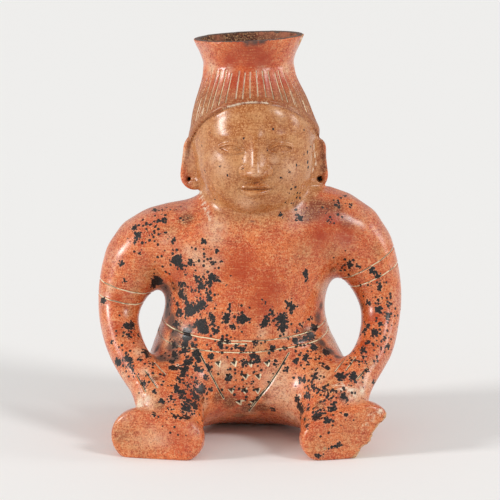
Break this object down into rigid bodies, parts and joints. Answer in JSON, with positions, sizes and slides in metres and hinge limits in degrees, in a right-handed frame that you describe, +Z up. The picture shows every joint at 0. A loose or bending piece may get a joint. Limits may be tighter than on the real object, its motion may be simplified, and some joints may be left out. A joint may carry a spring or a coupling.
{
  "type": "seated figure vessel",
  "caption": "Hollow seated ceramic figure, hands on knees and feet forward, its cap rising into an open flared spout.",
  "frame": {"origin": "middle of the box round the vessel, on the surface that it sits on", "axes": "+Z up through the spout, -Y the way the figure faces, +X towards its left hand"},
  "size_m": [0.2492, 0.1782, 0.3247],
  "materials": {
    "red_slip_clay": "satin"
  },
  "bodies": {
    "root": {"seated_figure": "red_slip_clay"}
  },
  "joints": []
}
